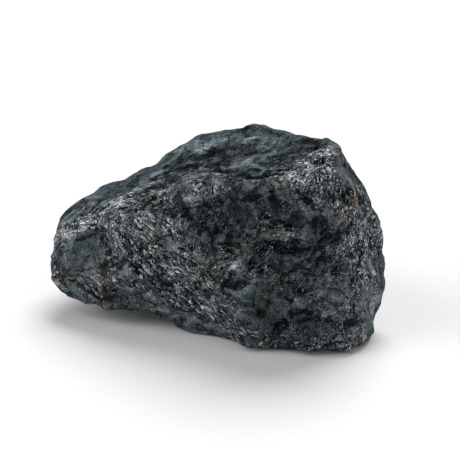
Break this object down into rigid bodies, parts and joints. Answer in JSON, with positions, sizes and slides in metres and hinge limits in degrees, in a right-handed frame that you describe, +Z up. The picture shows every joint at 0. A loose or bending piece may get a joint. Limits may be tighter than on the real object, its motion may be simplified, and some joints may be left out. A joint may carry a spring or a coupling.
{
  "type": "rough larvikite stone",
  "caption": "Rough wedge-shaped lump of dark coarse-grained feldspar rock with broken faces, lying on a flat underside.",
  "frame": {"origin": "on the resting face's plane, under the middle of the stone's box", "axes": "+X along the stone's longest extent, from its low narrow end to its tall broad end; +Z up; -Y the steep broken front"},
  "size_m": [0.1002, 0.058, 0.0581],
  "materials": {
    "larvikite": "rough broken feldspar, blue-grey to nearly black, with glinting cleavage faces and rusty specks"
  },
  "bodies": {
    "root": {"stone": "larvikite"}
  },
  "joints": []
}
